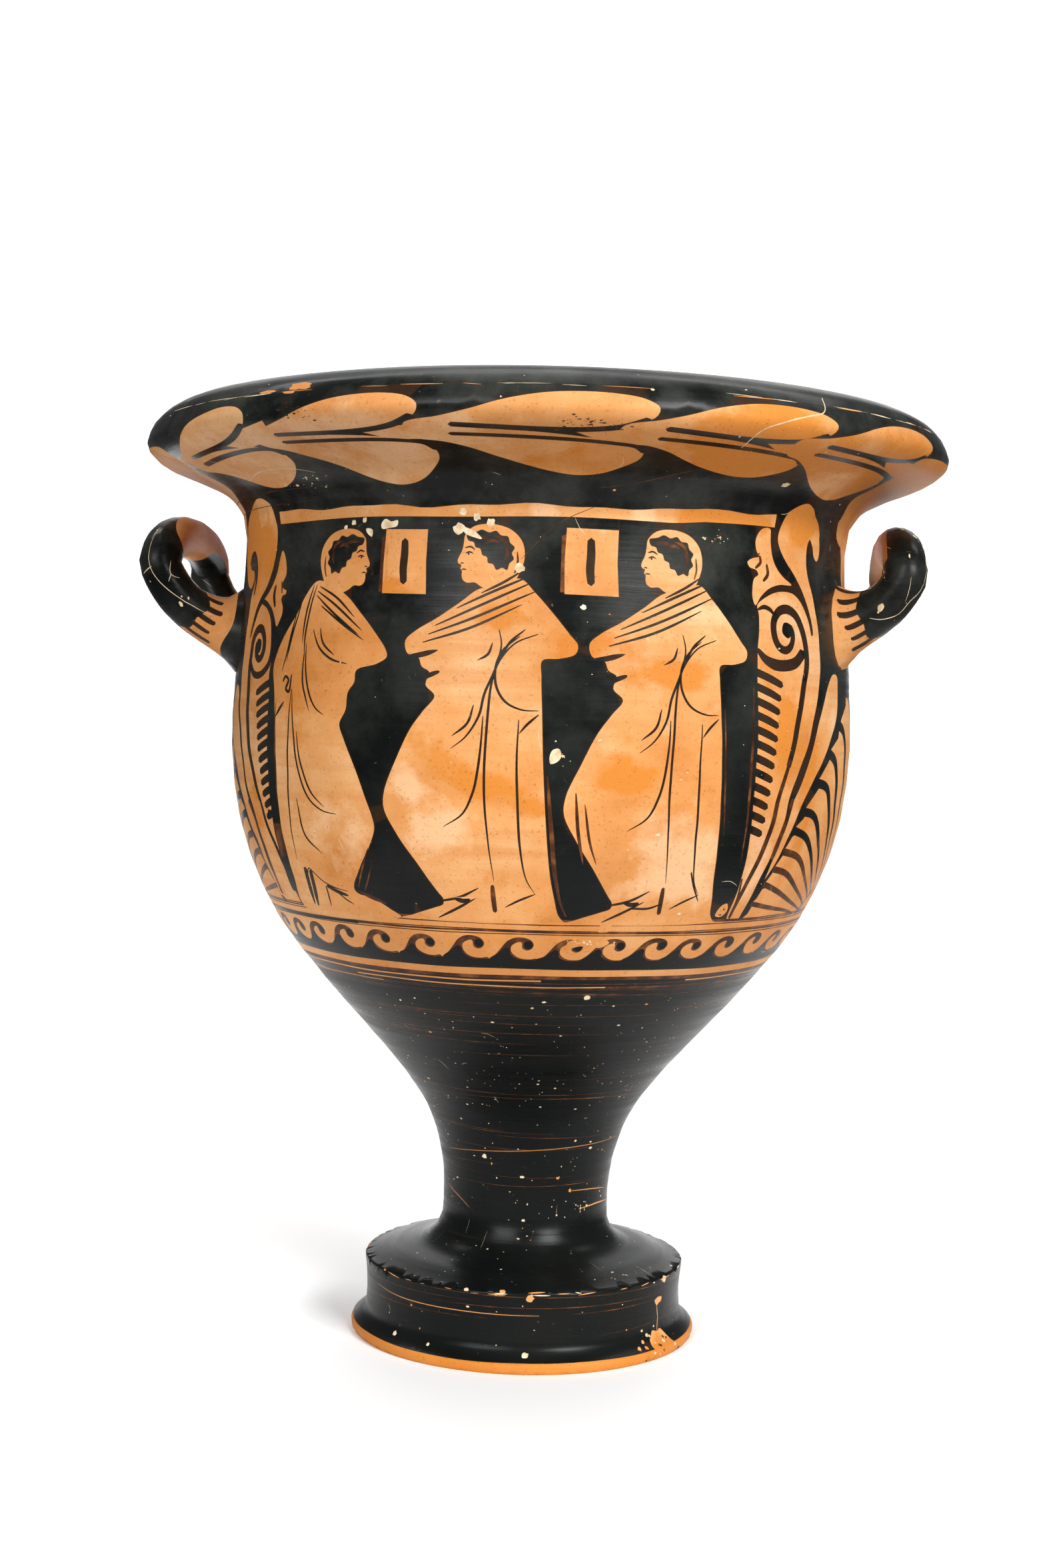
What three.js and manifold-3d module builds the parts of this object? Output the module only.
// Bell krater: one fired-clay vessel with a high foot, a flaring rim and two
// horseshoe handles. Millimetres, +Z up, origin at the bottom centre of the foot.
import * as THREE from 'three';
import { mergeVertices } from 'three/addons/utils/BufferGeometryUtils.js';
import Module from 'manifold-3d';

// Overall sizes
const HEIGHT = 380;           // crest of the lip
const RIM_R = 165.1;          // widest point, under the lip
const RIM_Z = 363.2;
const BELLY_R = 128.6;        // widest point of the bowl
const BELLY_Z = 240.9;
const NECK_R = 124.4;         // narrowest point below the rim
const NECK_Z = 328.5;
const STEM_R = 34.7;          // waist between bowl and foot
const STEM_Z = 58;
const FOOT_R = 71.9;          // disc the vessel stands on
const FOOT_EDGE = 3.9;        // height of its upright edge
const SHOULDER_R = 66.9;      // top corner of the foot
const SHOULDER_Z = 30.3;
const WALL = 7;               // wall of the bowl
const SEGMENTS = 60;          // around the axis
const SAG = 0.8;              // bow a straight step of the profile may leave out

// Handle: arms rise from the wall at about 45 degrees, then stand upright
const HANDLE_R = 8.4;         // thickness of the roll, as a radius
const HANDLE_WALL_R = 126.5;  // outside of the wall at the roots
const HANDLE_FLARE = 3.5;     // swelling of a root sideways, upwards and downwards
const HANDLE_FLARE_UP = 12;
const HANDLE_FLARE_DOWN = 8;
const HANDLE_FADE = 7;        // distance from the wall over which the swelling fades
const HANDLE_LIFT_RIGHT = 6;  // the right handle's roots sit higher than the left one's
const HANDLE_LIFT_LEFT = 1.5;
const HANDLE_HALF_SPAN = 42.2;
const HANDLE_REACH = 149.6;   // from the axis to the upright part
const HANDLE_TOP = 329.5;     // centre line at the top of the arch
const HANDLE_SHIFT = -1.7;    // both handles sit slightly off centre
const HANDLE_RINGS = 36;
const HANDLE_SIDES = 12;

// Profile points are [radius, height]
const FOOT_SIDE = [
  [FOOT_R - 0.8, 0], [FOOT_R, 0.9], [FOOT_R, FOOT_EDGE], [FOOT_R - 2.4, FOOT_EDGE + 1.5],
  [FOOT_R - 5.2, 8.8], [SHOULDER_R - 0.9, 14.5], [SHOULDER_R - 0.9, 22], [SHOULDER_R, SHOULDER_Z],
];
const FOOT_TOP = [
  [SHOULDER_R - 0.8, SHOULDER_Z + 0.9], [SHOULDER_R - 4, 32], [54.5, 34.7],
  [43.5, 37.6], [37.3, 42], [STEM_R + 0.2, 47.6],
];
const BOWL = [
  [STEM_R, STEM_Z - 5], [STEM_R + 0.2, STEM_Z + 5], [37.1, 76.7], [43.1, 93.1], [54.5, 109.5],
  [68.9, 125.9], [88.6, 147.8], [109.5, 175.2], [123.5, 208.1], [BELLY_R, BELLY_Z],
  [127.8, 273.8], [125.8, 301.1], [NECK_R + 0.2, 317.6], [NECK_R, NECK_Z],
];
const FLARE = [
  [NECK_R + 1.5, 337.3], [131.8, 344.9], [144.6, 351.5], [RIM_R - 4.9, 358], [RIM_R, RIM_Z],
  [RIM_R - 0.8, 367.6], [RIM_R - 2.5, 371],
];
const LIP = [
  [RIM_R - 4.2, 373], [RIM_R - 6.4, 375.3], [RIM_R - 11.7, 378.4], [RIM_R - 17.2, HEIGHT],
  [144.4, 378.9], [142, 374.6],
];
const INSIDE = [
  [136.5, 364.5], [124.5, 352], [NECK_R - WALL, NECK_Z + 4], [125.8 - WALL, 301.1],
  [BELLY_R - WALL, BELLY_Z], [115.8, 208], [98.8, 173], [73, 144.5], [45, 118], [24, 109.5],
  [0, 107.5],
];
const HOLLOW = [[0, 82], [16, 75], [25, 45], [45, 26], [61.5, 0]];

// A smooth run through the given points, with an extra point where an interval is curved
function smooth(points) {
  const curve = new THREE.CatmullRomCurve3(points.map(([r, z]) => new THREE.Vector3(r, z, 0)));
  const intervals = points.length - 1;
  const at = (t) => {
    const p = curve.getPoint(t / intervals);
    return new THREE.Vector2(p.x, p.y);
  };
  const run = [at(0)];
  for (let i = 0; i < intervals; i += 1) {
    const middle = at(i + 0.5);
    const chord = at(i).add(at(i + 1)).multiplyScalar(0.5);
    if (middle.distanceTo(chord) > SAG) run.push(middle);
    run.push(at(i + 1));
  }
  return run;
}

const straight = (points) => points.map(([r, z]) => new THREE.Vector2(r, z));

// Spins a profile around +Z, listed from the axis outward and up
function spin(profile) {
  const geometry = new THREE.LatheGeometry(profile, SEGMENTS);
  geometry.rotateX(Math.PI / 2);
  return geometry;
}

// Centre line of one handle arm in (outward, sideways, up), from the wall to the arch
function handleLine(lift) {
  const bend = 316;
  const arm = [[112, 30, 285.5 + lift], [129, 33.5, 290.5 + lift], [142, 39.5, 301 + lift / 2],
    [HANDLE_REACH + 0.3, HANDLE_HALF_SPAN, bend]];
  const arch = [];
  for (let i = 1; i <= 6; i += 1) {
    const a = (i / 6) * (Math.PI / 2);
    arch.push([HANDLE_REACH - 0.6 * Math.sin(a), HANDLE_HALF_SPAN * Math.cos(a) ** 0.91,
      bend + (HANDLE_TOP - bend) * Math.sin(a) ** 0.91]);
  }
  const half = [...arm, ...arch];
  const back = half.slice(0, -1).reverse().map(([x, y, z]) => [x, -y, z]);
  return [...half, ...back].map(([x, y, z]) => new THREE.Vector3(x, y, z));
}

// Extra radius of the bar on the side that faces a direction, at a point of its plain surface
function swelling(point, direction) {
  const gap = Math.max(0, Math.hypot(point.x, point.y) - HANDLE_WALL_R);
  const most = direction.z > 0 ? HANDLE_FLARE_UP : HANDLE_FLARE_DOWN;
  const flare = HANDLE_FLARE + (most - HANDLE_FLARE) * direction.z ** 2;
  return flare * Math.exp(-gap / HANDLE_FADE);
}

// Round bar swept along the centre line, swelling at both ends, with flat caps
function handleBar(lift) {
  const curve = new THREE.CatmullRomCurve3(handleLine(lift));
  const frames = curve.computeFrenetFrames(HANDLE_RINGS, false);
  const positions = [];
  const index = [];
  for (let i = 0; i <= HANDLE_RINGS; i += 1) {
    const u = i / HANDLE_RINGS;
    const centre = curve.getPointAt(u);
    for (let j = 0; j < HANDLE_SIDES; j += 1) {
      const a = (j / HANDLE_SIDES) * 2 * Math.PI;
      const out = frames.normals[i].clone().multiplyScalar(Math.cos(a))
        .addScaledVector(frames.binormals[i], Math.sin(a));
      const p = centre.clone().addScaledVector(out, HANDLE_R);
      p.addScaledVector(out, swelling(p, out));
      positions.push(p.x, p.y, p.z);
    }
  }
  for (let i = 0; i < HANDLE_RINGS; i += 1) {
    for (let j = 0; j < HANDLE_SIDES; j += 1) {
      const a = i * HANDLE_SIDES + j;
      const b = i * HANDLE_SIDES + ((j + 1) % HANDLE_SIDES);
      index.push(a, b, b + HANDLE_SIDES, a, b + HANDLE_SIDES, a + HANDLE_SIDES);
    }
  }
  const last = HANDLE_RINGS * HANDLE_SIDES;
  for (let j = 1; j < HANDLE_SIDES - 1; j += 1) {
    index.push(0, j + 1, j, last, last + j, last + j + 1);
  }
  const geometry = new THREE.BufferGeometry();
  geometry.setAttribute('position', new THREE.Float32BufferAttribute(positions, 3));
  geometry.setIndex(index);
  return geometry;
}

const wasm = await Module();
wasm.setup();

// Closed solid from a geometry, turned outward when its faces point in
function solid(geometry) {
  const bare = geometry.clone();
  bare.deleteAttribute('normal');
  bare.deleteAttribute('uv');
  const merged = mergeVertices(bare, 1e-4);
  const vertProperties = new Float32Array(merged.attributes.position.array);
  const triVerts = new Uint32Array(merged.index.array);
  const body = new wasm.Manifold(new wasm.Mesh({ numProp: 3, vertProperties, triVerts }));
  if (body.volume() > 0) return body;
  for (let i = 0; i < triVerts.length; i += 3) {
    [triVerts[i], triVerts[i + 1]] = [triVerts[i + 1], triVerts[i]];
  }
  return new wasm.Manifold(new wasm.Mesh({ numProp: 3, vertProperties, triVerts }));
}

// Foot, bowl, rim and inside as one spun wall
const wall = solid(spin([
  ...smooth(FOOT_SIDE), ...smooth(FOOT_TOP), ...smooth(BOWL), ...smooth(FLARE),
  ...smooth(LIP), ...smooth(INSIDE), ...straight(HOLLOW), new THREE.Vector2(FOOT_R - 0.8, 0),
]));

// Core that trims the handle ends inside the thickness of the wall
const core = solid(spin(straight([
  [0, 230], [BELLY_R - WALL / 2 - 0.4, 230], [BELLY_R - WALL / 2 - 0.4, 250],
  [127.8 - WALL / 2, 273.8], [125.8 - WALL / 2, 301.1], [NECK_R - WALL / 2, 322], [0, 335],
])));

let vessel = wall;
for (const [side, lift] of [[0, HANDLE_LIFT_RIGHT], [Math.PI, HANDLE_LIFT_LEFT]]) {
  const bar = handleBar(lift);
  bar.rotateZ(side);
  bar.translate(HANDLE_SHIFT, 0, 0);
  vessel = vessel.add(solid(bar).subtract(core));
}

const mesh = vessel.getMesh();
const geometry = new THREE.BufferGeometry();
geometry.setAttribute('position', new THREE.BufferAttribute(new Float32Array(mesh.vertProperties), 3));
geometry.setIndex(new THREE.BufferAttribute(new Uint32Array(mesh.triVerts), 1));
geometry.computeVertexNormals();

const clay = new THREE.MeshStandardMaterial({ color: 0x2a2724, roughness: 0.35, metalness: 0 });
const krater = new THREE.Mesh(geometry, clay);
krater.name = 'krater';

const group = new THREE.Group();
group.name = 'greek_krater';
group.add(krater);
export default group;
